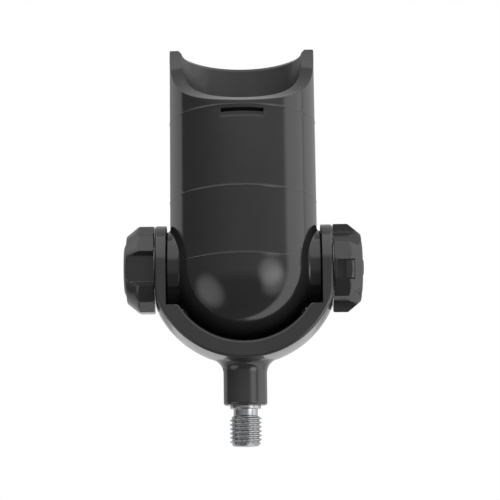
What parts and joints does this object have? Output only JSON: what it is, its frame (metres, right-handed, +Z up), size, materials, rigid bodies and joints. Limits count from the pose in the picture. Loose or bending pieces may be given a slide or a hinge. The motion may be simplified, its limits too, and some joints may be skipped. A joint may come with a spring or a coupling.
{
  "type": "rod holder",
  "caption": "Tilting fishing-rod butt cup with a scooped rim, pivoted in a U-shaped yoke with a thumb knob on each side and a threaded stud below.",
  "frame": {"origin": "centre of the stem's bottom face, where the threaded stud leaves it", "axes": "+Z up along the stem, +X along the pivot axis, the scooped side of the cup faces -Y"},
  "size_m": [0.0717, 0.0502, 0.1222],
  "materials": {
    "yoke_plastic": "glossy moulded black",
    "cup_plastic": "glossy moulded black",
    "knob_plastic": "satin-gloss moulded black",
    "cap_plastic": "satin-gloss moulded black",
    "stud_steel": "turned bright stainless steel",
    "washer_steel": "plain stamped",
    "screw_steel": "zinc plated",
    "insert_brass": "turned brass",
    "washer_rubber": "matt black"
  },
  "bodies": {
    "yoke_body": {"yoke": "yoke_plastic", "threaded_stud": "stud_steel"},
    "cup_body": {"cup": "cup_plastic", "left_insert": "insert_brass", "right_insert": "insert_brass", "left_friction_washer": "washer_rubber", "right_friction_washer": "washer_rubber"},
    "left_carrier": {"left_thrust_washer": "washer_steel"},
    "left_knob_body": {"left_knob": "knob_plastic", "left_clamp_screw": "screw_steel", "left_knob_cap": "cap_plastic"},
    "right_carrier": {"right_thrust_washer": "washer_steel"},
    "right_knob_body": {"right_knob": "knob_plastic", "right_clamp_screw": "screw_steel", "right_knob_cap": "cap_plastic"}
  },
  "joints": [
    {"name": "cup_tilt", "type": "hinge", "parent": "yoke_body", "child": "cup_body", "pos_m": [0, 0, 0.041], "axis": [1, 0, 0], "range_deg": [-85, 95]},
    {"name": "left_knob_travel", "type": "slide", "parent": "cup_body", "child": "left_carrier", "axis": [-1, 0, 0], "range_m": [0, 0.002]},
    {"name": "left_knob_turn", "type": "hinge", "parent": "left_carrier", "child": "left_knob_body", "pos_m": [-0.0316, 0, 0.041], "axis": [-1, 0, 0], "range_deg": [0, 720]},
    {"name": "right_knob_travel", "type": "slide", "parent": "cup_body", "child": "right_carrier", "axis": [1, 0, 0], "range_m": [0, 0.002]},
    {"name": "right_knob_turn", "type": "hinge", "parent": "right_carrier", "child": "right_knob_body", "pos_m": [0.0316, 0, 0.041], "axis": [1, 0, 0], "range_deg": [0, 720]}
  ],
  "couplings": [
    {"joint": "left_knob_travel", "follows": "left_knob_turn", "m_per_rad": 0.00015915},
    {"joint": "right_knob_travel", "follows": "right_knob_turn", "m_per_rad": 0.00015915}
  ]
}
